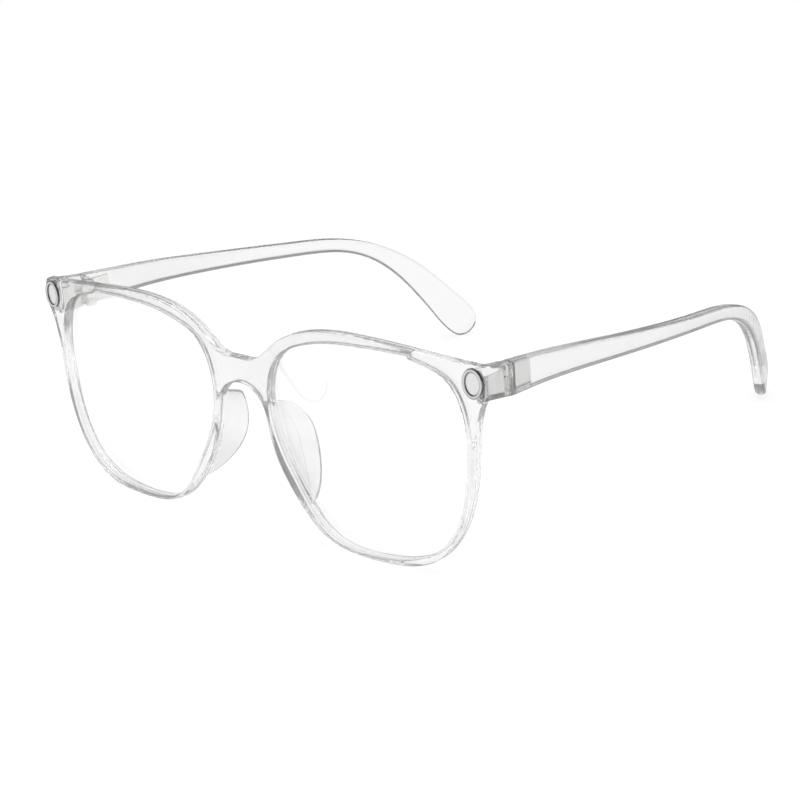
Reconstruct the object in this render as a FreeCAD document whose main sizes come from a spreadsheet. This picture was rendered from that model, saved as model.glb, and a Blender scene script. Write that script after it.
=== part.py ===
import FreeCAD, Part

import math
import os

import Sketcher

# Clear moulded eyeglasses with square lenses, standing open on a table.
# +Z is up, the front looks towards -Y and the temples run back to +Y.
# Every piece is drawn with the foremost point of the front at y = 0 and the table
# at z = 0, and is then set back so that the origin lies under the middle of the glasses.
# +X is the wearer's left: the pieces on that side are drawn, the others mirrored.

Vector = FreeCAD.Vector
doc = FreeCAD.newDocument("ClearGlasses")

# ------------------------------------------------------------------ driving sizes, mm

SIZES = (
    ("overall_width", 143.6, "across the end pieces"),
    ("lens_height", 50.6, "lens opening, up and down"),
    ("bridge_gap", 18.2, "between the two lens openings"),
    ("corner_reach", 5.5, "lens opening out to the end of the front"),
    ("rim_top", 2.2, "face width of the rim above the lens"),
    ("rim_side", 2.0, "face width beside the lens"),
    ("rim_brow", 3.1, "face width at the upper corner beside the bridge"),
    ("rim_corner", 1.6, "face width round the lower outer corner"),
    ("rim_chin", 1.8, "face width where the bottom turns up to that corner"),
    ("rim_bottom", 1.25, "face width below the lens"),
    ("rim_nose", 2.3, "face width beside the nose"),
    ("rim_depth", 3.1, "front to back through the rim"),
    ("face_radius", 600.0, "curve of the front, seen from above"),
    ("edge_round", 0.7, "rounding of the moulded edges"),
    ("bridge_drop", 8.2, "end piece's top down to the bridge's upper edge"),
    ("bridge_height", 6.5, "bridge, up and down"),
    ("bridge_flat", 4.6, "half of the bridge's straight top"),
    ("bridge_dip", 0.2, "fall of the bridge's top to its middle"),
    ("arch_inset", 2.7, "lens opening to the shoulder of the arch under the bridge"),
    ("arch_drop", 3.35, "top of that arch down to its shoulder"),
    ("nose_inset", 0.4, "lens opening to the side of the nose gap"),
    ("nose_drop", 11.8, "top of the arch down to where that is measured"),
    ("brow_run", 14.0, "end of the front to the end of the brow's fall"),
    ("brow_fall", 1.0, "fall of the upper edge to the end of the front"),
    ("end_height", 6.6, "outer edge of the front, up and down"),
    ("cheek_inset", 2.4, "end of the front in to the outline's hollow under it"),
    ("cheek_drop", 12.2, "top of the end down to that hollow"),
    ("lug_height", 7.9, "end piece, up and down"),
    ("lug_lift", 0.64, "end piece's upper line above the front's corner"),
    ("lug_drop", 1.6, "fall of the end piece from front to joint"),
    ("lug_depth", 14.7, "front face to the joint with the temple"),
    ("lug_thickness", 3.6, "end piece and temple, through"),
    ("lug_fillet", 3.0, "inner corner behind the end piece"),
    ("lug_corner", 1.2, "outer corner of the front"),
    ("pad_drop", 17.65, "end piece's top down to where the nose pad leaves the rim"),
    ("pad_length", 25.0, "nose pad, up and down"),
    ("pad_reach", 13.0, "nose pad's free edge behind the front"),
    ("pad_thickness", 1.3, "nose pad, through"),
    ("pad_flare", 12.0, "degrees that the nose pad opens backwards"),
    ("pad_fall", 20.0, "degrees that its lines fall backwards"),
    ("pad_root", 1.0, "nose pad's rounding carried on into the rim"),
    ("lens_thickness", 2.0, "lens, through"),
    ("bevel_height", 0.5, "lens bevel into the rim's groove"),
    ("bevel_width", 1.1, "lens bevel, through"),
    ("lens_clearance", 0.1, "between the lens and its groove"),
    ("temple_gap", 0.12, "between end piece and open temple"),
    ("temple_length", 148.4, "joint to tip, along the temple"),
    ("temple_height", 8.0, "temple at the joint"),
    ("temple_waist", 3.9, "lowest height of the temple"),
    ("waist_place", 95.0, "joint to the temple's waist"),
    ("tip_height", 9.4, "blade at the temple's tip"),
    ("tip_thickness", 3.0, "temple at its tip"),
    ("temple_round", 0.9, "rounding of the temple's edges"),
    ("temple_splay", 5.0, "degrees that the temple starts outwards"),
    ("splay_end", 18.5, "joint to where it heads outwards most"),
    ("temple_slope", 7.4, "degrees that the temple falls to the ear"),
    ("joint_slope", 3.6, "degrees that it falls at the joint"),
    ("temple_bow", 8.0, "degrees that it heads inwards at the ear"),
    ("tip_inward", 26.0, "degrees that the tip heads inwards"),
    ("tip_drop", 50.24, "degrees that the tip points down"),
    ("bend_start", 80.0, "joint to the start of the ear bend"),
    ("bend_end", 134.0, "joint to the end of the ear bend"),
    ("hinge_drop", 6.2, "end piece's top down to the hinge's middle"),
    ("hinge_height", 6.2, "all three knuckles together"),
    ("hinge_inset", 0.9, "hinge axis inside the temple's inner face"),
    ("knuckle_radius", 1.6, "hinge knuckle"),
    ("knuckle_centre", 2.4, "height of the middle knuckle"),
    ("knuckle_gap", 0.06, "between knuckles"),
    ("leaf_length", 7.4, "hinge axis to the end of a leaf"),
    ("leaf_thickness", 0.9, "hinge leaf, through"),
    ("leaf_sunk", 0.6, "leaf let into the plastic"),
    ("leaf_clear", 2.0, "hinge axis to the leaf's full height"),
    ("seat_clearance", 0.02, "between a seated piece and the plastic"),
    ("hinge_relief", 0.3, "space round the knuckles"),
    ("screw_radius", 0.7, "hinge screw"),
    ("screw_clearance", 0.05, "between screw and knuckle"),
    ("head_radius", 1.2, "screw head"),
    ("head_height", 0.5, "screw head"),
    ("slot_width", 0.35, "driver slot"),
    ("slot_depth", 0.25, "driver slot"),
    ("plaque_width", 5.3, "oval plaque, across"),
    ("plaque_height", 7.0, "oval plaque, up and down"),
    ("plaque_thickness", 0.8, "oval plaque, through"),
    ("plaque_border", 0.75, "raised border of the plaque"),
    ("plaque_dish", 0.25, "depth of the plaque's middle"),
    ("plaque_recess", 0.4, "plaque let into the end piece"),
    ("plaque_inset", 2.95, "plaque's middle in from the end"),
    ("plaque_drop", 3.9, "end piece's top down to the plaque's middle"),
)
FOLLOWING_SIZES = (
    ("lens_width", "=(overall_width - bridge_gap) / 2 - corner_reach", "lens opening, across"),
    ("lug_top", "=rim_bottom + lens_height", "height of the end piece at the front"),
    ("bridge_top", "=lug_top - bridge_drop", "height of the bridge's upper edge"),
    ("pad_top", "=lug_top - pad_drop", "height where the nose pad leaves the rim"),
    ("hinge_level", "=lug_top - hinge_drop", "height of the hinge's middle"),
    ("plaque_level", "=lug_top - plaque_drop", "height of the plaque's middle"),
)

sheet = doc.addObject("Spreadsheet::Sheet", "Sizes")
for row, (alias, value, meaning) in enumerate(SIZES + FOLLOWING_SIZES, start=1):
    sheet.set("A%d" % row, alias)
    sheet.set("B%d" % row, str(value))
    sheet.setAlias("B%d" % row, alias)
    sheet.set("C%d" % row, meaning)
doc.recompute()


def size(alias):
    """A driving size, read from the sheet."""
    return float(sheet.get(alias))


# ------------------------------------------------------------------ small helpers

PAST = 1.2    # a cutting tool runs this many times past what it cuts
TOUCH = 0.01  # mm within which an edge counts as touching a face


def bind(item, **formulas):
    """Bind an object's properties to formulas of the sheet's sizes."""
    for name, formula in formulas.items():
        item.setExpression(name.replace("__", "."), formula)


def extruded(name, wires, direction, start):
    """A solid drawn from closed wires, carried along a direction from a start point."""
    face = Part.makeFace(wires, "Part::FaceMakerBullseye")
    face.translate(start)
    item = doc.addObject("Part::Feature", name)
    item.Shape = face.extrude(direction)
    return item


def joined(kind, name, items):
    """Part's boolean of several objects: Fuse, Common or Cut."""
    item = doc.addObject("Part::" + kind, name)
    if kind.startswith("Multi"):
        item.Shapes = items
    else:
        item.Base, item.Tool = items
    return item


def rounded(name, base, picks, radius):
    """Part's fillet on the edges of a shape that a test picks."""
    doc.recompute()
    edges = []
    for number, edge in enumerate(base.Shape.Edges, start=1):
        if picks(edge):
            edges.append((number, radius, radius))
    item = doc.addObject("Part::Fillet", name)
    item.Base = base
    item.Edges = edges
    return item


def mirrored(name, source):
    """The copy of a piece on the other side, at -X."""
    item = doc.addObject("Part::Mirroring", name)
    item.Source = source
    item.Normal = Vector(1, 0, 0)
    return item


def flipped(point):
    """A point's mirror image in the plane x = 0."""
    return Vector(-point.x, point.y, point.z)


def spline(points):
    """A smooth open curve through points."""
    curve = Part.BSplineCurve()
    curve.interpolate(points)
    return curve


def loop(points, heading):
    """A smooth closed curve through points, with its heading at the first one."""
    curve = Part.BSplineCurve()
    curve.interpolate(points + points[:1], InitialTangent=heading, FinalTangent=heading)
    return curve


def ellipse(middle, tall, deep):
    """An ellipse about a point from its two half axes, whichever is the longer."""
    shorter, longer = sorted((tall, deep), key=lambda axis: axis.Length)
    return Part.Ellipse(middle + longer, middle + shorter, middle)


# ------------------------------------------------------------------ the lens shape

# The opening as fractions of half its width and half its height, from the middle of
# its top towards the nose and on round.
LENS_SHAPE = (
    (0.16, 1.00), (-0.63, 0.90), (-0.84, 0.78), (-0.995, 0.19), (-0.70, -0.56),
    (-0.48, -0.87), (0.14, -0.995), (0.54, -0.895), (0.73, -0.745), (0.90, -0.43),
    (0.98, 0.02), (0.995, 0.34), (0.92, 0.70), (0.79, 0.86), (0.49, 0.97),
)
TOP, TOP_INNER, UPPER_INNER, INNER, LOWER_INNER, \
    BOTTOM_INNER, BOTTOM, BOTTOM_OUTER, LOWER_CORNER, LOWER_OUTER, \
    OUTER, UPPER_SIDE, UPPER_OUTER, UPPER_CORNER, TOP_OUTER = range(len(LENS_SHAPE))

inwards = Vector(-1, 0, 0)
lens_middle = Vector(
    (size("lens_width") + size("bridge_gap")) / 2,
    0,
    size("rim_bottom") + size("lens_height") / 2,
)
lens_points = []
for across, up in LENS_SHAPE:
    offset = Vector(across * size("lens_width") / 2, 0, up * size("lens_height") / 2)
    lens_points.append(lens_middle + offset)
lens_curve = loop(lens_points, inwards)


def beside_lens(place, distance):
    """The point a distance outside the lens opening at one of its shape's points."""
    point = lens_points[place]
    along = lens_curve.tangent(lens_curve.parameter(point))[0]
    outwards = Vector(along.z, 0, -along.x).normalize()
    if outwards.dot(point - lens_middle) < 0:
        outwards = -outwards
    return point + outwards * distance


def lens_wire(growth):
    """The closed outline of the opening, grown by a distance."""
    points = [beside_lens(place, growth) for place in range(len(LENS_SHAPE))]
    return Part.Wire([loop(points, inwards).toShape()])


# ------------------------------------------------------------------ the curved front

half_width = size("overall_width") / 2
deep = Vector(0, size("lug_depth"), 0)
before = Vector(0, -1, 0)


def face_depth(across):
    """How far the front face has curved back at a distance from the middle."""
    return size("face_radius") - math.sqrt(size("face_radius") ** 2 - across ** 2)


def curved_layer(name, near, far):
    """A layer of the front between two depths, curved as the front is."""
    layers = []
    for part, inset in (("outside", near), ("inside", far)):
        item = doc.addObject("Part::Cylinder", name + "_" + part)
        bind(item, Radius="Sizes.face_radius - (" + inset + ")", Placement__Base__y="Sizes.face_radius",
             Height="Sizes.lug_top * 2", Placement__Base__z="-Sizes.lug_top / 2")
        layers.append(item)
    return joined("Cut", name, layers)


bridge_under = size("bridge_top") - size("bridge_height")
upper = [
    Vector(0, 0, size("bridge_top")),
    Vector(size("bridge_flat"), 0, size("bridge_top") + size("bridge_dip")),
    beside_lens(UPPER_INNER, size("rim_brow")),
    beside_lens(TOP_INNER, size("rim_brow")),
    beside_lens(TOP, size("rim_top")),
    Vector(half_width - size("brow_run"), 0, size("lug_top") + size("brow_fall")),
    Vector(half_width, 0, size("lug_top")),
]
lower = [
    Vector(half_width, 0, size("lug_top") - size("end_height")),
    Vector(half_width - size("cheek_inset"), 0, size("lug_top") - size("cheek_drop")),
    beside_lens(OUTER, size("rim_side")),
    beside_lens(LOWER_OUTER, size("rim_corner")),
    beside_lens(LOWER_CORNER, size("rim_corner")),
    beside_lens(BOTTOM_OUTER, size("rim_chin")),
    beside_lens(BOTTOM, size("rim_bottom")),
    beside_lens(BOTTOM_INNER, size("rim_bottom")),
    beside_lens(LOWER_INNER, size("rim_nose")),
    Vector(size("bridge_gap") / 2 - size("nose_inset"), 0, bridge_under - size("nose_drop")),
    Vector(size("bridge_gap") / 2 - size("arch_inset"), 0, bridge_under - size("arch_drop")),
    Vector(0, 0, bridge_under),
]
upper_edge = spline([flipped(point) for point in reversed(upper[1:])] + upper)
lower_edge = spline(lower + [flipped(point) for point in reversed(lower[:-1])])
outline = Part.Wire([
    upper_edge.toShape(),
    Part.LineSegment(upper[-1], lower[0]).toShape(),
    lower_edge.toShape(),
    Part.LineSegment(flipped(lower[0]), flipped(upper[-1])).toShape(),
])
blank = extruded("front_blank", [outline], deep, before)


def runs_back(edge):
    """Whether an edge runs from front to back."""
    ends = edge.Vertexes[-1].Point - edge.Vertexes[0].Point
    return abs(ends.y) > 0.9 * edge.Length


corners = rounded("front_corners", blank, runs_back, size("lug_corner"))
layer = curved_layer("front_layer", "0", "Sizes.rim_depth")
plate = joined("Common", "front_plate", (corners, layer))


def round_outside(edge):
    """Whether an edge follows the outline of the front."""
    middle = edge.valueAt((edge.FirstParameter + edge.LastParameter) / 2)
    away = outline.distToShape(Part.Vertex(middle.x, 0, middle.z))[0]
    return not runs_back(edge) and away < size("lug_corner") / 2


rounded_plate = rounded("rounded_plate", plate, round_outside, size("edge_round"))

# From here on one half of the front is made, and its mirror image is joined to it.
half_space = doc.addObject("Part::Box", "half_space")
bind(half_space, Length="Sizes.overall_width", Width="2 * Sizes.lug_depth", Height="2 * Sizes.lug_top",
     Placement__Base__y="-Sizes.lug_depth / 2", Placement__Base__z="-Sizes.lug_top / 2")
half_plate = joined("Common", "half_plate", (rounded_plate, half_space))
opening = extruded("opening", [lens_wire(0)], deep + deep, -deep)
half_rims = joined("Cut", "half_rims", (half_plate, opening))

# ------------------------------------------------------------------ end pieces

inner_face = half_width - size("lug_thickness")
joint_top = size("lug_top") - size("lug_drop")
joint_bottom = joint_top - size("lug_height")
lug_root = inner_face - size("lug_fillet")
root_depth = face_depth(lug_root) + size("rim_depth")
face_start = face_depth(half_width) + 1.5 * size("edge_round")
fillet_middle = Vector(lug_root, root_depth + size("lug_fillet"), 0)
slant = math.radians(45)
plan = [
    Vector(half_width, face_start, 0),
    Vector(half_width, size("lug_depth"), 0),
    Vector(inner_face, size("lug_depth"), 0),
    Vector(inner_face, fillet_middle.y, 0),
    Vector(lug_root, root_depth, 0),
    Vector(lug_root, root_depth - size("rim_depth") / 3, 0),
]
bend_middle = fillet_middle + Vector(math.cos(slant), -math.sin(slant), 0) * size("lug_fillet")
lug_plan = Part.Wire([
    Part.LineSegment(plan[0], plan[1]).toShape(),
    Part.LineSegment(plan[1], plan[2]).toShape(),
    Part.LineSegment(plan[2], plan[3]).toShape(),
    Part.Arc(plan[3], bend_middle, plan[4]).toShape(),
    Part.LineSegment(plan[4], plan[5]).toShape(),
    Part.LineSegment(plan[5], plan[0]).toShape(),
])
front_top = Vector(0, 0, size("lug_top") + size("lug_lift"))
lug_side = Part.makePolygon([
    front_top,
    Vector(0, size("lug_depth"), joint_top),
    Vector(0, size("lug_depth"), joint_bottom),
    front_top - Vector(0, 0, size("lug_height")),
    front_top,
])
lug_upright = extruded("lug_plan", [lug_plan], front_top * PAST, Vector(0, 0, 0))
lug_across = extruded("lug_side", [lug_side], Vector(half_width, 0, 0), Vector(1, 0, 0))
lug_block = joined("Common", "lug_block", (lug_upright, lug_across))


def meets_joint(edge):
    """Whether one end only of an edge lies in the face that the temple butts on."""
    touching = [abs(end.Point.y - size("lug_depth")) < TOUCH for end in edge.Vertexes]
    return sum(touching) == 1


lug = rounded("lug", lug_block, meets_joint, size("temple_round"))

# ------------------------------------------------------------------ nose pads

pad_start = size("rim_depth") - size("edge_round")
pad_run = size("pad_reach") - pad_start
nose_line = lower_edge.copy()
nose_line.segment(lower_edge.parameter(lower[-5]), lower_edge.parameter(lower[-2]))
inward_line = nose_line.copy()
inward_line.translate(Vector(size("pad_thickness"), 0, 0))
pad_section = Part.Wire(Part.__sortEdges__([
    nose_line.toShape(),
    inward_line.toShape(),
    Part.LineSegment(nose_line.StartPoint, inward_line.StartPoint).toShape(),
    Part.LineSegment(nose_line.EndPoint, inward_line.EndPoint).toShape(),
]))
flare = Vector(math.tan(math.radians(size("pad_flare"))), 1, -math.tan(math.radians(size("pad_fall"))))
pad_wall = extruded("pad_wall", [pad_section], flare * pad_run * PAST, Vector(0, pad_start, 0))
leaf_depth = pad_run + size("pad_root")
leaf_middle = Vector(0, size("pad_reach") - leaf_depth, size("pad_top") - size("pad_length") / 2)
leaf_outline = ellipse(leaf_middle, Vector(0, 0, size("pad_length") / 2), Vector(0, leaf_depth, 0))
pad_leaf = extruded("pad_leaf", [Part.Wire([leaf_outline.toShape()])], Vector(half_width / 2, 0, 0),
                    Vector(0, 0, 0))
pad_block = joined("Common", "pad_block", (pad_wall, pad_leaf))
half_moulding = joined("MultiFuse", "half_moulding", [half_rims, lug, pad_block])

# ------------------------------------------------------------------ lenses

bevel_near = "(Sizes.rim_depth - Sizes.bevel_width) / 2"
bevel_far = "(Sizes.rim_depth + Sizes.bevel_width) / 2"
lens_near = "(Sizes.rim_depth - Sizes.lens_thickness) / 2"
lens_far = "(Sizes.rim_depth + Sizes.lens_thickness) / 2"


def lens_slice(name, growth, near, far):
    """The part of a curved layer of the front that lies inside a grown lens outline."""
    block = extruded(name + "_block", [lens_wire(growth)], deep + deep, -deep)
    return joined("Common", name, (block, curved_layer(name + "_layer", near, far)))


groove = lens_slice("groove", size("bevel_height"), bevel_near + " - Sizes.lens_clearance",
                    bevel_far + " + Sizes.lens_clearance")
lens_body = lens_slice("lens_body", -size("lens_clearance"), lens_near, lens_far)
lens_bevel = lens_slice("lens_bevel", size("bevel_height") - size("lens_clearance"),
                        bevel_near, bevel_far)
lens = joined("Fuse", "lens", (lens_body, lens_bevel))

# ------------------------------------------------------------------ temples

STRIDE = 0.5             # mm walked along the temple at a time
STATIONS = 15            # sections from the joint to the tip
END_ANGLES = (30, 55, 75)  # degrees round the end of the tip, one more section each
ROUND_MOST = 0.45        # largest corner, as a share of the section
END_THICKNESS = 0.4      # thickness left at the very end of the tip
tip_radius = size("tip_height") / 2
full_length = size("temple_length") - tip_radius


def ramp(distance, start, end):
    """A smooth step from 0 at the start to 1 at the end."""
    share = min(max((distance - start) / (end - start), 0), 1)
    return share * share * (3 - 2 * share)


def temple_heading(distance):
    """Direction of the temple at a distance from the joint."""
    leaf = size("leaf_length")
    run = min(max((distance - leaf) / (size("bend_start") - leaf), 0), 1)
    bend = ramp(distance, size("bend_start"), size("bend_end"))
    outwards = size("temple_splay") * ramp(distance, leaf, size("splay_end"))
    outwards -= (size("temple_splay") + size("temple_bow")) * run
    outwards -= (size("tip_inward") - size("temple_bow")) * bend
    down = size("joint_slope")
    down += (size("temple_slope") - size("joint_slope")) * ramp(distance, 0, size("bend_start") / 2)
    down += (size("tip_drop") - size("temple_slope")) * bend
    turn = FreeCAD.Rotation(-outwards, 0, -down)
    return turn.multVec(Vector(0, 1, 0))


def temple_section_height(distance):
    """Height of the temple: it thins to a waist before the ear and widens to the tip."""
    waist = size("temple_waist")
    ahead = max(1 - distance / size("waist_place"), 0) ** 2
    behind = ramp(distance, size("waist_place"), full_length)
    return waist + (size("temple_height") - waist) * ahead + (size("tip_height") - waist) * behind


def rounded_section(middle, along, height, thickness):
    """A rounded rectangle across the temple: straight sides joined by quarter circles."""
    outwards = Vector(along.y, -along.x, 0).normalize()
    up = outwards.cross(along).normalize()
    radius = min(size("temple_round"), height * ROUND_MOST, thickness * ROUND_MOST)
    corners = []
    for side, level in ((1, 1), (-1, 1), (-1, -1), (1, -1)):
        hub = middle + outwards * side * (thickness / 2 - radius) + up * level * (height / 2 - radius)
        flat = hub + outwards * side * radius
        tall = hub + up * level * radius
        bend = hub + (outwards * side + up * level).normalize() * radius
        corners.append((flat, bend, tall) if side == level else (tall, bend, flat))
    edges = []
    for number, (start, bend, end) in enumerate(corners):
        edges.append(Part.LineSegment(corners[number - 1][2], start).toShape())
        edges.append(Part.Arc(start, bend, end).toShape())
    return Part.Wire(edges)


joint_face = size("lug_depth") + size("temple_gap")
stops = [full_length * number / STATIONS for number in range(STATIONS + 1)]
shrinks = [1.0] * len(stops)
for angle in END_ANGLES:
    stops.append(full_length + tip_radius * math.sin(math.radians(angle)))
    shrinks.append(math.cos(math.radians(angle)))

middle = Vector(half_width - size("lug_thickness") / 2, joint_face, (joint_top + joint_bottom) / 2)
travelled = 0.0
sections = []
for stop, shrink in zip(stops, shrinks):
    strides = math.ceil((stop - travelled) / STRIDE)
    for number in range(strides):
        length = (stop - travelled) / (strides - number)
        middle = middle + temple_heading(travelled + length / 2) * length
        travelled += length
    along = temple_heading(stop) if stop > 0 else Vector(0, 1, 0)
    share = stop / size("temple_length")
    thickness = size("lug_thickness") + (size("tip_thickness") - size("lug_thickness")) * share
    thickness *= END_THICKNESS + (1 - END_THICKNESS) * shrink
    height = temple_section_height(min(stop, full_length)) * shrink
    sections.append(rounded_section(middle, along, height, thickness))
temple_blade = doc.addObject("Part::Feature", "temple_blade")
temple_blade.Shape = Part.makeLoft(sections, True, False)

# Half the depth of the whole, which brings the origin under its middle.
row += 1
sheet.set("A%d" % row, "setback")
sheet.set("B%d" % row, "%.3f" % (temple_blade.Shape.optimalBoundingBox().YMax / 2))
sheet.setAlias("B%d" % row, "setback")

# ------------------------------------------------------------------ hinges


def new_body(name):
    """A PartDesign body."""
    return doc.addObject("PartDesign::Body", name)


def sketch_in(body, name, role):
    """An empty sketch on one of a body's own origin planes."""
    plane = [item for item in body.Origin.OriginFeatures if item.Role == role][0]
    sketch = body.newObject("Sketcher::SketchObject", name)
    sketch.AttachmentSupport = [(plane, "")]
    sketch.MapMode = "FlatFace"
    return sketch


def draw_circle(sketch, radius):
    """A circle about the origin whose radius follows a formula."""
    number = sketch.addGeometry(Part.Circle(Vector(0, 0, 0), Vector(0, 0, 1), 1.0), False)
    sketch.addConstraint(Sketcher.Constraint("Coincident", number, 3, -1, 1))
    constraint = sketch.addConstraint(Sketcher.Constraint("Radius", number, 1.0))
    sketch.setExpression("Constraints[%d]" % constraint, radius)


def draw_box(sketch, left, right, low, high):
    """A rectangle whose four sides lie at signed distances from the origin."""
    corners = [(0, 0), (1, 0), (1, 1), (0, 1)]
    lines = []
    for start, end in zip(corners, corners[1:] + corners[:1]):
        line = Part.LineSegment(Vector(*start, 0), Vector(*end, 0))
        lines.append(sketch.addGeometry(line, False))
    for here, there in zip(lines, lines[1:] + lines[:1]):
        sketch.addConstraint(Sketcher.Constraint("Coincident", here, 2, there, 1))
    for line in (lines[0], lines[2]):
        sketch.addConstraint(Sketcher.Constraint("Horizontal", line))
    for line in (lines[1], lines[3]):
        sketch.addConstraint(Sketcher.Constraint("Vertical", line))
    for kind, line, formula in (("DistanceX", lines[0], left), ("DistanceX", lines[1], right),
                                ("DistanceY", lines[0], low), ("DistanceY", lines[2], high)):
        constraint = sketch.addConstraint(Sketcher.Constraint(kind, -1, 1, line, 1, 0.5))
        sketch.setExpression("Constraints[%d]" % constraint, formula)


def pad_feature(body, name, sketch, length, middle=True):
    """A pad of a sketch whose length follows a formula."""
    pad = body.newObject("PartDesign::Pad", name)
    pad.Profile = sketch
    pad.Midplane = middle
    bind(pad, Length=length)
    return pad


def through_cut(body, name, sketch):
    """A pocket of a sketch right through a body, both ways."""
    pocket = body.newObject("PartDesign::Pocket", name)
    pocket.Profile = sketch
    pocket.Type = "ThroughAll"
    pocket.Midplane = True
    return pocket


HINGE_ACROSS = "Sizes.overall_width / 2 - Sizes.lug_thickness - Sizes.hinge_inset"
HINGE_DEPTH = "Sizes.lug_depth + Sizes.temple_gap / 2"
LEAF_INNER = "Sizes.hinge_inset + Sizes.leaf_sunk - Sizes.leaf_thickness"
LEAF_OUTER = "Sizes.hinge_inset + Sizes.leaf_sunk"
SIDE_KNUCKLE = "(Sizes.hinge_height - Sizes.knuckle_centre) / 2 - Sizes.knuckle_gap"


def at_hinge(body):
    """Place a body that is drawn about the hinge axis, at the hinge's middle."""
    bind(body, Placement__Base__x=HINGE_ACROSS, Placement__Base__y=HINGE_DEPTH,
         Placement__Base__z="Sizes.hinge_level")


def hinge_plate(body, near, far):
    """The flat of a hinge leaf between two distances from the axis."""
    plate_sketch = sketch_in(body, body.Name + "_plate_outline", "XY_Plane")
    draw_box(plate_sketch, LEAF_INNER, LEAF_OUTER, near, far)
    pad_feature(body, body.Name + "_plate", plate_sketch, "Sizes.hinge_height")


def knuckle(body, name, height, offset, near, far):
    """A knuckle round the axis with the neck that joins it to its leaf."""
    for part, draw in (("barrel", lambda sketch: draw_circle(sketch, "Sizes.knuckle_radius")),
                       ("neck", lambda sketch: draw_box(sketch, LEAF_INNER, LEAF_OUTER, near, far))):
        sketch = sketch_in(body, body.Name + name + part + "_outline", "XY_Plane")
        bind(sketch, AttachmentOffset__Base__z=offset)
        draw(sketch)
        pad_feature(body, body.Name + name + part, sketch, height)


def bore(body):
    """The screw's hole through every knuckle of a leaf."""
    sketch = sketch_in(body, body.Name + "_bore_outline", "XY_Plane")
    draw_circle(sketch, "Sizes.screw_radius + Sizes.screw_clearance")
    through_cut(body, body.Name + "_bore", sketch)


front_leaf = new_body("front_leaf")
hinge_plate(front_leaf, "-Sizes.leaf_length", "-Sizes.leaf_clear")
knuckle(front_leaf, "_middle_", "Sizes.knuckle_centre", "0", "-Sizes.leaf_clear * 1.05", "0")
bore(front_leaf)
at_hinge(front_leaf)

temple_leaf = new_body("temple_leaf")
hinge_plate(temple_leaf, "Sizes.leaf_clear", "Sizes.leaf_length")
KNUCKLE_OFFSET = "(Sizes.hinge_height + Sizes.knuckle_centre) / 4 + Sizes.knuckle_gap / 2"
for place, side in (("_upper_", ""), ("_lower_", "-")):
    knuckle(temple_leaf, place, SIDE_KNUCKLE, side + "(" + KNUCKLE_OFFSET + ")",
            "0", "Sizes.leaf_clear * 1.05")
bore(temple_leaf)
at_hinge(temple_leaf)

screw = new_body("screw")
shank_outline = sketch_in(screw, "shank_outline", "XY_Plane")
draw_circle(shank_outline, "Sizes.screw_radius")
pad_feature(screw, "shank", shank_outline, "Sizes.hinge_height")
head_outline = sketch_in(screw, "head_outline", "XY_Plane")
bind(head_outline, AttachmentOffset__Base__z="Sizes.hinge_height / 2 + Sizes.head_height / 2")
draw_circle(head_outline, "Sizes.head_radius")
pad_feature(screw, "head", head_outline, "Sizes.head_height")
slot_outline = sketch_in(screw, "slot_outline", "XY_Plane")
bind(slot_outline, AttachmentOffset__Base__z="Sizes.hinge_height / 2 + Sizes.head_height")
draw_box(slot_outline, "-Sizes.head_radius * 1.2", "Sizes.head_radius * 1.2",
         "-Sizes.slot_width / 2", "Sizes.slot_width / 2")
slot = screw.newObject("PartDesign::Pocket", "slot")
slot.Profile = slot_outline
bind(slot, Length="Sizes.slot_depth")
at_hinge(screw)

# The plastic is let in for both leaves and relieved round the knuckles.
seat = doc.addObject("Part::Box", "leaf_seat")
SEAT_CLEARANCE = "Sizes.seat_clearance"
bind(
    seat,
    Length="2 * Sizes.leaf_sunk",
    Width="2 * (Sizes.leaf_length + " + SEAT_CLEARANCE + ")",
    Height="Sizes.hinge_height + 2 * " + SEAT_CLEARANCE,
    Placement__Base__x="Sizes.overall_width / 2 - Sizes.lug_thickness - Sizes.leaf_sunk",
    Placement__Base__y=HINGE_DEPTH + " - Sizes.leaf_length - " + SEAT_CLEARANCE,
    Placement__Base__z="Sizes.hinge_level - Sizes.hinge_height / 2 - " + SEAT_CLEARANCE,
)
relief = doc.addObject("Part::Cylinder", "knuckle_relief")
bind(
    relief,
    Radius="Sizes.knuckle_radius + Sizes.hinge_relief",
    Height="Sizes.hinge_height + 2 * (Sizes.head_height + Sizes.hinge_relief)",
    Placement__Base__x=HINGE_ACROSS,
    Placement__Base__y=HINGE_DEPTH,
    Placement__Base__z="Sizes.hinge_level - Sizes.hinge_height / 2 - Sizes.head_height"
                       " - Sizes.hinge_relief",
)
hinge_room = joined("MultiFuse", "hinge_room", [seat, relief])

# ------------------------------------------------------------------ plaques


def draw_oval(sketch, width, height):
    """An ellipse about the origin of a sketch."""
    oval = ellipse(Vector(0, 0, 0), Vector(0, height / 2, 0), Vector(width / 2, 0, 0))
    sketch.addGeometry(oval, False)
    sketch.addConstraint(Sketcher.Constraint("Coincident", 0, 3, -1, 1))


PLAQUE_ACROSS = "(Sizes.overall_width / 2 - Sizes.plaque_inset)"
PLAQUE_DEPTH = "Sizes.face_radius - sqrt(Sizes.face_radius ^ 2 - " + PLAQUE_ACROSS + " ^ 2)"
plaque_turn = math.degrees(math.asin((half_width - size("plaque_inset")) / size("face_radius")))


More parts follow.
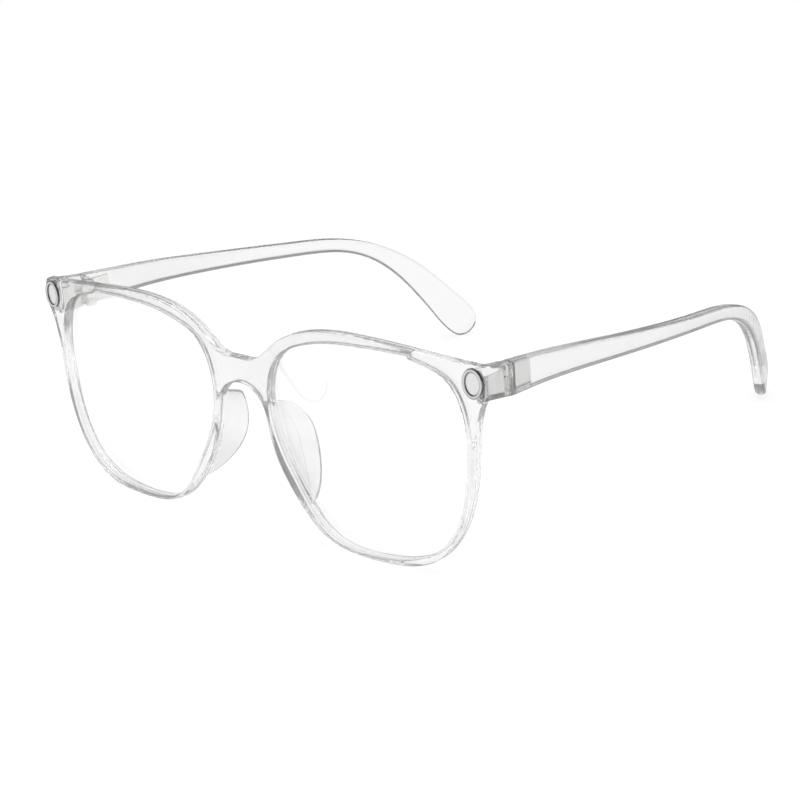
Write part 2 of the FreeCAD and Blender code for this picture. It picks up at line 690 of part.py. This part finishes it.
def oval_body(name, growth, near, far):
    """A body that is an oval slab between two depths behind the front face."""
    body = new_body(name)
    outline_sketch = sketch_in(body, name + "_outline", "XZ_Plane")
    bind(outline_sketch, AttachmentOffset__Base__z="-(" + far + ")")
    draw_oval(outline_sketch, size("plaque_width") + growth, size("plaque_height") + growth)
    pad_feature(body, name + "_slab", outline_sketch, far + " - (" + near + ")", middle=False)
    body.Placement.Rotation = FreeCAD.Rotation(plaque_turn, 0, 0)
    bind(body, Placement__Base__x=PLAQUE_ACROSS, Placement__Base__y=PLAQUE_DEPTH,
         Placement__Base__z="Sizes.plaque_level")
    return body


PROUD = "Sizes.plaque_recess - Sizes.plaque_thickness"
plaque = oval_body("plaque", 0, PROUD, "Sizes.plaque_recess")
dish_outline = sketch_in(plaque, "dish_outline", "XZ_Plane")
bind(dish_outline, AttachmentOffset__Base__z="-(" + PROUD + ")")
draw_oval(dish_outline, size("plaque_width") - 2 * size("plaque_border"),
          size("plaque_height") - 2 * size("plaque_border"))
dish = plaque.newObject("PartDesign::Pocket", "dish")
dish.Profile = dish_outline
bind(dish, Length="Sizes.plaque_dish")
plaque_seat = oval_body("plaque_seat", 2 * size("seat_clearance"), "-1", "Sizes.plaque_recess")

# ------------------------------------------------------------------ the finished pieces

half_grooved = joined("Cut", "half_grooved", (half_moulding, groove))
pockets = joined("MultiFuse", "front_pockets", [hinge_room, plaque_seat])
half_front = joined("Cut", "half_front", (half_grooved, pockets))
frame = joined("MultiFuse", "frame", [half_front, mirrored("half_mirror", half_front)])
frame.Refine = False
temple = joined("Cut", "temple", (temple_blade, hinge_room))

PIECES = (
    ("front_frame", frame, "0"),
    ("lens", lens, "0"),
    ("plaque", plaque, PLAQUE_DEPTH),
    ("front_hinge", front_leaf, HINGE_DEPTH),
    ("temple", temple, "0"),
    ("temple_hinge", temple_leaf, HINGE_DEPTH),
    ("hinge_screw", screw, HINGE_DEPTH),
)
nodes = []
for name, piece, depth in PIECES:
    bind(piece, Placement__Base__y=depth + " - Sizes.setback")
    piece.Label = name
    nodes.append(piece)
    if piece is not frame:
        piece.Label = name + "_left"
        nodes.append(mirrored(name + "_mirror", piece))
        nodes[-1].Label = name + "_right"
doc.recompute()

# ------------------------------------------------------------------ checks and files

for item in doc.Objects:
    if "Invalid" in item.State or "Error" in item.State:
        raise RuntimeError("%s did not build: %s" % (item.Label, item.State))
for node in nodes:
    if node.Shape.isNull() or not node.Shape.isValid():
        raise RuntimeError("%s has no sound shape" % node.Label)
    if len(node.Shape.Solids) != 1:
        raise RuntimeError("%s is not one solid" % node.Label)

os.makedirs("parts", exist_ok=True)
for node in nodes:
    node.Shape.exportStep("parts/%s.step" % node.Label)
    box = node.Shape.BoundBox
    print("%-20s %8.1f mm3   y %6.1f to %6.1f   z %5.1f to %5.1f" % (
        node.Label, node.Shape.Volume, box.YMin, box.YMax, box.ZMin, box.ZMax))
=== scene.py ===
import math

import bpy
from mathutils import Matrix, Vector


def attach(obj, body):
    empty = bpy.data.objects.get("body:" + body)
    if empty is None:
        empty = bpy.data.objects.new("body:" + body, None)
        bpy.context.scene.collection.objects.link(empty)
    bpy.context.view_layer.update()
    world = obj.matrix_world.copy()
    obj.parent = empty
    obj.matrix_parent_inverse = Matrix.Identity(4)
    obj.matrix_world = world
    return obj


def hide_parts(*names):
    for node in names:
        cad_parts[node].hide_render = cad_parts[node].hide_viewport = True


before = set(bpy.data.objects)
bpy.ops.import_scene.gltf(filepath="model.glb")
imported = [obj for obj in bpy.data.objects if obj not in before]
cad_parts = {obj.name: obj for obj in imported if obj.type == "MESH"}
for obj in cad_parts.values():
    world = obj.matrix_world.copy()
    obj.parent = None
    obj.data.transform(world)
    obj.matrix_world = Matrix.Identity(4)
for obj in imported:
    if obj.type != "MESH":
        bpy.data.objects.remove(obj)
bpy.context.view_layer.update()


# ------------------------------------------------------------------ front moulding
# Both rims, the bridge, the nose pads and the end pieces are one injection moulding in
# colourless plastic. Its surface is polished but not flat: moulding leaves a slow waviness
# and handling leaves fine hazy marks.

MM = 0.001                         # every length in this script is in millimetres

PLASTIC_LEVEL = (0.94, 0.955)      # how much light the clear plastic keeps, patch by patch
PLASTIC_ROUGHNESS = (0.02, 0.05)
PLASTIC_IOR = 1.49
WAVE_SIZE = 7.0
WAVE_DEPTH = 0.015
MARK_SIZE = 1.6
MARK_SPAN = (0.35, 0.75)           # the part of the marks' pattern that shows

SEEN_THROUGH = 0.08                # share of the light that goes straight on through a surface
PASSING_LEVEL = 0.955              # level of that light after one surface
TURNED_LEVEL = 0.5                 # painted shade: the same where a surface turns away from the eye
TURNED_SHARE = 0.45                # share of that painted shade at a surface's very outline
TURNED_SPAN = (0.48, 0.92)         # turn of the surface over which that share comes in

JOINT_SHADE = 0.5                  # painted shade: how much darker the plastic is at the temples' joints
JOINT_LINE = 0.12                  # half width of that dark line
JOINT_SOFT = 0.25                  # where the line has faded out

WELD_GAP = 0.0005
VOXEL = 0.18                       # cell of a moulding's rebuilt skin
SMOOTH_PASSES = 12                 # softens the skin's edges over about 0.3 mm
SMOOTH_PULL = 0.5                  # how far one pass moves a point towards its neighbours


class Shade:
    """One output of a shader node, ready to be used in sums."""

    def __init__(self, tree, socket):
        self.tree = tree
        self.socket = socket

    def output(self, name):
        """Another output of the same node."""
        return Shade(self.tree, self.socket.node.outputs[name])

    def math(self, operation, *others):
        """A maths node of this output and others, in the given order."""
        return self.tree.add("ShaderNodeMath", inputs=(self,) + others, operation=operation)

    def math_after(self, operation, other):
        """A maths node of a number and then this output."""
        return self.tree.add("ShaderNodeMath", inputs=(other, self), operation=operation)

    def __add__(self, other):
        return self.math("ADD", other)

    def __radd__(self, other):
        return self.math_after("ADD", other)

    def __sub__(self, other):
        return self.math("SUBTRACT", other)

    def __rsub__(self, other):
        return self.math_after("SUBTRACT", other)

    def __mul__(self, other):
        return self.math("MULTIPLY", other)

    def __rmul__(self, other):
        return self.math_after("MULTIPLY", other)

    def __truediv__(self, other):
        return self.math("DIVIDE", other)

    def __rtruediv__(self, other):
        return self.math_after("DIVIDE", other)


class Tree:
    """The node tree of a material or of the world, emptied and built up again."""

    def __init__(self, owner):
        owner.use_nodes = True
        self.nodes = owner.node_tree.nodes
        self.links = owner.node_tree.links
        self.nodes.clear()

    def add(self, kind, output=0, inputs=(), stops=(), **settings):
        """A node with its settings, a ramp's stops, and its inputs in order or by name."""
        node = self.nodes.new(kind)
        for name, value in settings.items():
            setattr(node, name, value)
        if stops:
            self.set_stops(node.color_ramp, stops)
        pairs = inputs.items() if isinstance(inputs, dict) else enumerate(inputs)
        for key, value in pairs:
            self.fill(node.inputs[key], value)
        return None if output is None else Shade(self, node.outputs[output])

    def fill(self, socket, value):
        """Links an output to a socket, or writes a constant on it."""
        if isinstance(value, Shade):
            self.links.new(value.socket, socket)
        else:
            socket.default_value = value

    def set_stops(self, ramp, stops):
        """Gives a ramp its stops, each a rising position and a grey level, eased between."""
        ramp.interpolation = "EASE"
        while len(ramp.elements) < len(stops):
            ramp.elements.new(1.0)
        for number, (position, level) in enumerate(stops):
            ramp.elements[number].position = position
            ramp.elements[number].color = plain_grey(level)

    def finish(self, shader, kind="ShaderNodeOutputMaterial"):
        """Wires the last shader to the tree's output."""
        self.add(kind, None, {"Surface": shader})

    def coordinates(self):
        """The place on a piece, in metres from the object's own origin."""
        return self.add("ShaderNodeTexCoord", "Object")

    def noise(self, size, detail, roughness=0.5):
        """A cloudy pattern from 0 to 1 whose clouds are about a size across."""
        return self.add("ShaderNodeTexNoise", "Fac", {
            "Vector": self.coordinates(), "Scale": 1.0 / (size * MM),
            "Detail": detail, "Roughness": roughness})

    def spread(self, shade, low, high, span=(0.0, 1.0)):
        """Maps a pattern's span to low..high and holds it there beyond."""
        return self.add("ShaderNodeMapRange", "Result", {
            "Value": shade, "From Min": span[0], "From Max": span[1],
            "To Min": low, "To Max": high})

    def grey(self, level, tint=(1.0, 1.0, 1.0)):
        """A colour of a varying level with a slight tint."""
        return self.add("ShaderNodeCombineColor", "Color", {
            "Red": level * tint[0], "Green": level * tint[1], "Blue": level * tint[2]})

    def bump(self, height, depth):
        """The normal of a surface with a pattern pressed into it to a depth."""
        return self.add("ShaderNodeBump", "Normal", {
            "Height": height, "Distance": depth * MM, "Strength": 1.0})


def plain_grey(level):
    """One colour value of equal parts."""
    return (level, level, level, 1.0)


def material(name):
    """A new material and its empty tree."""
    made = bpy.data.materials.new(name)
    return made, Tree(made)


def piece_box(node):
    """Lowest and highest corner of a CAD piece in its own metres."""
    corners = [Vector(corner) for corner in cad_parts[node].bound_box]
    return (Vector(min(corner[axis] for corner in corners) for axis in range(3)),
            Vector(max(corner[axis] for corner in corners) for axis in range(3)))


def plastic_material():
    """A clear solid, with painted shade greying its outlines and a thin line at the temples' joints."""
    made, tree = material("clear_plastic")
    waves = tree.noise(WAVE_SIZE, detail=1.0)
    marks = tree.noise(MARK_SIZE, detail=6.0, roughness=0.65)
    # Painted shade: a thin dark line across the plastic where front and temple meet, standing in for
    # the shade in the gap between them.
    joint = (piece_box("front_frame")[1].y + piece_box("temple_left")[0].y) / 2
    place = tree.add("ShaderNodeSeparateXYZ", "Y", {"Vector": tree.coordinates()})
    painted_joint_shade = tree.spread((place - joint).math("ABSOLUTE"), JOINT_SHADE, 0.0,
                      (JOINT_LINE * MM, JOINT_SOFT * MM))
    body = tree.add("ShaderNodeBsdfPrincipled", "BSDF", {
        "Base Color": tree.grey(tree.spread(waves, *PLASTIC_LEVEL) * (1.0 - painted_joint_shade)),
        "Roughness": tree.spread(marks, *PLASTIC_ROUGHNESS, MARK_SPAN),
        "Transmission Weight": 1.0,
        "IOR": PLASTIC_IOR,
        "Normal": tree.bump(waves, WAVE_DEPTH),
    })
    passing = tree.add("ShaderNodeBsdfTransparent", "BSDF", {"Color": plain_grey(PASSING_LEVEL)})
    turned = tree.add("ShaderNodeBsdfTransparent", "BSDF", {"Color": plain_grey(TURNED_LEVEL)})
    share = tree.add("ShaderNodeLightPath", "Is Shadow Ray").math("MAXIMUM", SEEN_THROUGH)
    clear = tree.add("ShaderNodeMixShader", "Shader", (share, body, passing))
    # Painted shade: where a surface turns away from the eye, part of the light is passed at a fixed
    # grey, in place of the dark edges that refraction and reflection give.
    facing = tree.add("ShaderNodeLayerWeight", "Facing", {"Blend": 0.5})
    outline = tree.spread(facing, 0.0, TURNED_SHARE, TURNED_SPAN)
    tree.finish(tree.add("ShaderNodeMixShader", "Shader", (outline, clear, turned)))
    return made


CLEAR_PLASTIC = plastic_material()


def moulded(node, body):
    """A smooth skin of clear plastic with softened edges in place of a CAD piece."""
    piece = bpy.data.objects.new(node + "_moulding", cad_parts[node].data.copy())
    bpy.context.scene.collection.objects.link(piece)
    weld = piece.modifiers.new("weld", "WELD")
    weld.merge_threshold = WELD_GAP * MM
    skin = piece.modifiers.new("skin", "REMESH")
    skin.mode = "VOXEL"
    skin.voxel_size = VOXEL * MM
    skin.use_smooth_shade = True
    edges = piece.modifiers.new("edges", "SMOOTH")
    edges.factor = SMOOTH_PULL
    edges.iterations = SMOOTH_PASSES
    bpy.context.view_layer.update()
    shaped = piece.evaluated_get(bpy.context.evaluated_depsgraph_get())
    mesh = bpy.data.meshes.new_from_object(shaped)
    piece.modifiers.clear()
    piece.data = mesh
    mesh.materials.clear()
    mesh.materials.append(CLEAR_PLASTIC)
    mesh.shade_smooth()
    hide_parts(node)
    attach(piece, body)


moulded("front_frame", "front")


# ------------------------------------------------------------------ temples
# Each temple is one moulding in the same clear plastic, flat and straight from the joint
# and then bent down behind the ear. It turns on the hinge that is let into its front end.

SIDES = ("left", "right")

for side in SIDES:
    moulded("temple_" + side, side + "_temple")


# ------------------------------------------------------------------ lenses
# Two plain lenses without colour, coated so that they hardly reflect. Their bevel sits in the
# rim's groove. Only their edges and faint wipe marks show.

COATING = 0.85                     # share of the light that passes as if there were no lens
LENS_LEVEL = (0.985, 1.0)
LENS_ROUGHNESS = (0.0, 0.02)
LENS_IOR = 1.5
WIPE_SIZE = 14.0


def lens_material():
    """Nearly invisible: a little of a clear solid mixed into plain see-through."""
    made, tree = material("lens_clear")
    wipes = tree.noise(WIPE_SIZE, detail=3.0)
    solid = tree.add("ShaderNodeBsdfPrincipled", "BSDF", {
        "Base Color": tree.grey(tree.spread(wipes, *LENS_LEVEL)),
        "Roughness": tree.spread(wipes, *LENS_ROUGHNESS),
        "Transmission Weight": 1.0,
        "IOR": LENS_IOR,
    })
    open_air = tree.add("ShaderNodeBsdfTransparent", "BSDF", {"Color": plain_grey(1.0)})
    share = tree.add("ShaderNodeLightPath", "Is Shadow Ray").math("MAXIMUM", COATING)
    tree.finish(tree.add("ShaderNodeMixShader", "Shader", (share, solid, open_air)))
    return made


def dress(node, finish):
    """Gives a CAD piece its material and leaves its shape alone."""
    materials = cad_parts[node].data.materials
    materials.clear()
    materials.append(finish)


LENS_CLEAR = lens_material()

for side in SIDES:
    dress("lens_" + side, LENS_CLEAR)


# ------------------------------------------------------------------ plaques
# A small oval plaque of bright metal is let into each end piece of the front. It is stamped
# with a dished satin middle and a raised border, which is then polished.

PLAQUE_BORDER = 0.75               # width of the raised border
DISH_LEVEL = 0.80                  # grey of the metal in the dish
BORDER_DARKER = 0.16               # painted dark reflection: how much darker the border is
WALL_SHADE = 0.72                  # painted shade: share of its light that the dish's wall loses
RIM_SHADE = 0.75                   # painted shade: the same for the line round the plaque
BORDER_SPAN = (0.98, 1.03)         # where the border begins: 1 is the oval of the dish's wall
WALL_SPAN = (0.86, 0.98)           # where the wall's dark line comes in
WALL_END = (1.0, 1.08)             # and where it fades out
RIM_SPAN = (0.92, 0.97)            # where the rim's line comes in: 1 is the plaque's outline
BORDER_ROUGHNESS = (0.05, 0.14)
SATIN = 0.22                       # how much rougher the dish is
SCUFF_SIZE = 1.2
SCUFF_DEPTH = 0.003
SCUFF_LEVEL = (0.94, 1.0)
METAL_SPAN = (0.3, 0.7)            # the part of a metal's marks that shows


def oval(across, up, half_width, half_height):
    """Distance from an oval's middle, 1 on the oval itself."""
    x = across / half_width
    z = up / half_height
    return (x * x + z * z).math("SQRT")


def plaque_material(node):
    """Polished border in painted dark reflection, satin dish, painted shade at the dish's wall and rim.
    """
    made, tree = material(node)
    low, high = piece_box(node)
    middle = (low + high) / 2
    half = (high - low) / 2
    place = tree.add("ShaderNodeSeparateXYZ", "X", {"Vector": tree.coordinates()})
    across = place - middle.x
    up = place.output("Z") - middle.z
    border = PLAQUE_BORDER * MM
    from_wall = oval(across, up, half.x - border, half.z - border)
    from_rim = oval(across, up, half.x, half.z)
    # Painted reflection and shade: the polished border is made darker in place of the dark surroundings
    # it would mirror, and dark lines of painted shade run up the dish's wall and round the rim.
    raised = tree.spread(from_wall, 0.0, 1.0, BORDER_SPAN)
    wall_end = tree.spread(from_wall, 0.0, 1.0, WALL_END)
    wall = tree.spread(from_wall, 0.0, 1.0, WALL_SPAN) * (1.0 - wall_end)
    rim = tree.spread(from_rim, 0.0, 1.0, RIM_SPAN)
    scuffs = tree.noise(SCUFF_SIZE, detail=5.0, roughness=0.6)
    level = (DISH_LEVEL - BORDER_DARKER * raised) * (1.0 - WALL_SHADE * wall) * (1.0 - RIM_SHADE * rim)
    polish = tree.spread(scuffs, *BORDER_ROUGHNESS, METAL_SPAN)
    tree.finish(tree.add("ShaderNodeBsdfPrincipled", "BSDF", {
        "Base Color": tree.grey(level * tree.spread(scuffs, *SCUFF_LEVEL)),
        "Metallic": 1.0,
        "Roughness": polish + SATIN * (1.0 - raised),
        "Normal": tree.bump(scuffs, SCUFF_DEPTH),
    }))
    return made


for side in SIDES:
    dress("plaque_" + side, plaque_material("plaque_" + side))


# ------------------------------------------------------------------ hinges
# Three-knuckle hinges of bright nickel. One leaf is let into the front's end piece and the
# other into the temple, and a vertical screw pins their knuckles together.

NICKEL_LEVEL = (0.7544, 0.82)
NICKEL_TINT = (1.0, 0.99, 0.98)
NICKEL_ROUGHNESS = (0.12, 0.25)
TURNING_SIZE = 0.7
TURNING_DEPTH = 0.01


def nickel_material():
    """Bare bright metal with fine turning marks and a little wear."""
    made, tree = material("hinge_metal")
    marks = tree.noise(TURNING_SIZE, detail=5.0, roughness=0.6)
    tree.finish(tree.add("ShaderNodeBsdfPrincipled", "BSDF", {
        "Base Color": tree.grey(tree.spread(marks, *NICKEL_LEVEL), NICKEL_TINT),
        "Metallic": 1.0,
        "Roughness": tree.spread(marks, *NICKEL_ROUGHNESS, METAL_SPAN),
        "Normal": tree.bump(marks, TURNING_DEPTH),
    }))
    return made


NICKEL = nickel_material()

for side in SIDES:
    dress("front_hinge_" + side, NICKEL)
    dress("temple_hinge_" + side, NICKEL)
    dress("hinge_screw_" + side, NICKEL)


# ------------------------------------------------------------------ board
# The glasses stand on a large matt white board with a faint grain. The eye sees it fade to
# plain white; the clear pieces see a painted glow of it that darkens far away, giving them grey edges.

BOARD_HALF = 1500.0
BOARD_TOP = -0.05                  # a little under the tips, so that the two don't coincide
BOARD_LEVEL = (0.93, 0.95)
BOARD_ROUGHNESS = (0.85, 0.95)
BOARD_GLOSS = 0.1
GRAIN_SIZE = 3.0
FADE_SPAN = (180.0, 380.0)         # it carries shadows up to the first and is white past the last
DIM_SPAN = (220.0, 650.0)          # through clear pieces it is at full strength up to the first
FAR_LEVEL = 0.4                    # and at this level past the last


def board_material():
    """Matt white board with a very faint grain, and a painted glow of it for rays through clear pieces.
    """
    made, tree = material("white_board")
    grain = tree.noise(GRAIN_SIZE, detail=3.0)
    board = tree.add("ShaderNodeBsdfPrincipled", "BSDF", {
        "Base Color": tree.grey(tree.spread(grain, *BOARD_LEVEL)),
        "Roughness": tree.spread(grain, *BOARD_ROUGHNESS),
        "Specular IOR Level": BOARD_GLOSS,
    })
    away = tree.add("ShaderNodeVectorMath", "Value", (tree.coordinates(),), operation="LENGTH")
    white = tree.add("ShaderNodeEmission", "Emission", {"Color": plain_grey(1.0)})
    faded = tree.spread(away, 0.0, 1.0, (FADE_SPAN[0] * MM, FADE_SPAN[1] * MM))
    seen = tree.add("ShaderNodeLightPath", "Is Camera Ray") * faded
    direct = tree.add("ShaderNodeMixShader", "Shader", (seen, board, white))
    # Painted light: for rays through the clear pieces the board is a glow that dims far away, in place
    # of its own lighting.
    dimmed = tree.spread(away, 1.0, FAR_LEVEL, (DIM_SPAN[0] * MM, DIM_SPAN[1] * MM))
    painted_glow = tree.add("ShaderNodeEmission", "Emission", {"Color": tree.grey(dimmed)})
    through = tree.add("ShaderNodeLightPath", "Is Transmission Ray")
    tree.finish(tree.add("ShaderNodeMixShader", "Shader", (through, direct, painted_glow)))
    return made


half = BOARD_HALF * MM
top = BOARD_TOP * MM
board_mesh = bpy.data.meshes.new("floor")
board_mesh.from_pydata([(-half, -half, top), (half, -half, top), (half, half, top), (-half, half, top)],
                       [], [(0, 1, 2, 3)])
board_mesh.materials.append(board_material())
board_object = bpy.data.objects.new("floor", board_mesh)
bpy.context.scene.collection.objects.link(board_object)


# ------------------------------------------------------------------ light tent
# One wide soft lamp hangs over the board in a tent that is white to the eye. Its lower bands
# are grey to the pieces, so clear edges and polished metal have something darker to carry.

LAMP_HEIGHT = 900.0
LAMP_SIZE = 1000.0
LAMP_POWER = 5.4
BANDS = ((0.0, 0.20), (0.12, 0.30), (0.35, 0.40), (0.55, 0.60), (0.8, 0.9))    # height, level
TENT_STRENGTH = 0.95

lamp_data = bpy.data.lights.new("overhead", "AREA")
lamp_data.shape = "SQUARE"
lamp_data.size = LAMP_SIZE * MM
lamp_data.energy = LAMP_POWER
lamp = bpy.data.objects.new("overhead", lamp_data)
bpy.context.scene.collection.objects.link(lamp)
lamp.location = (0, 0, LAMP_HEIGHT * MM)
lamp.visible_transmission = False  # the clear pieces look past it at the tent

world = bpy.data.worlds.new("tent")
bpy.context.scene.world = world
tent = Tree(world)
direction = tent.add("ShaderNodeTexCoord", "Generated")
rise = tent.add("ShaderNodeSeparateXYZ", "Z", {"Vector": direction})
bands = tent.add("ShaderNodeValToRGB", "Color", {"Fac": rise}, stops=BANDS)
lit_tent = tent.add("ShaderNodeBackground", "Background", {"Color": bands, "Strength": TENT_STRENGTH})
white_tent = tent.add("ShaderNodeBackground", "Background", {"Color": plain_grey(1.0), "Strength": 1.0})
camera_ray = tent.add("ShaderNodeLightPath", "Is Camera Ray")
tent.finish(tent.add("ShaderNodeMixShader", "Shader", (camera_ray, lit_tent, white_tent)),
            "ShaderNodeOutputWorld")


# ------------------------------------------------------------------ camera
# A long lens looks down on the front from the wearer's left. It stands well back, so the far
# temple is hardly smaller than the near one, and is held slightly out of level.

CAMERA_TURN = math.radians(42.2)   # from straight ahead of the front towards the wearer's left
CAMERA_RISE = math.radians(19.3)
CAMERA_ROLL = math.radians(-4.0)
CAMERA_AWAY = 598.0
CAMERA_AIM = (-3.5, -13.96, 13.85)
SENSOR = 36.0                      # the camera's own sizes, in millimetres as it takes them
LENS = 104.36
NEAREST = 10.0
FARTHEST = 10000.0

back = Vector((math.sin(CAMERA_TURN) * math.cos(CAMERA_RISE),
               -math.cos(CAMERA_TURN) * math.cos(CAMERA_RISE),
               math.sin(CAMERA_RISE)))
level_right = Vector((math.cos(CAMERA_TURN), math.sin(CAMERA_TURN), 0))
level_up = back.cross(level_right)
right = level_right * math.cos(CAMERA_ROLL) + level_up * math.sin(CAMERA_ROLL)
up = level_up * math.cos(CAMERA_ROLL) - level_right * math.sin(CAMERA_ROLL)
turned = Matrix((right, up, back)).transposed().to_4x4()
camera_data = bpy.data.cameras.new("camera")
camera_data.sensor_width = SENSOR
camera_data.lens = LENS
camera_data.clip_start = NEAREST * MM
camera_data.clip_end = FARTHEST * MM
camera = bpy.data.objects.new("camera", camera_data)
bpy.context.scene.collection.objects.link(camera)
camera.matrix_world = Matrix.Translation((Vector(CAMERA_AIM) + back * CAMERA_AWAY) * MM) @ turned
bpy.context.scene.camera = camera
bpy.context.scene.view_settings.view_transform = "Standard"
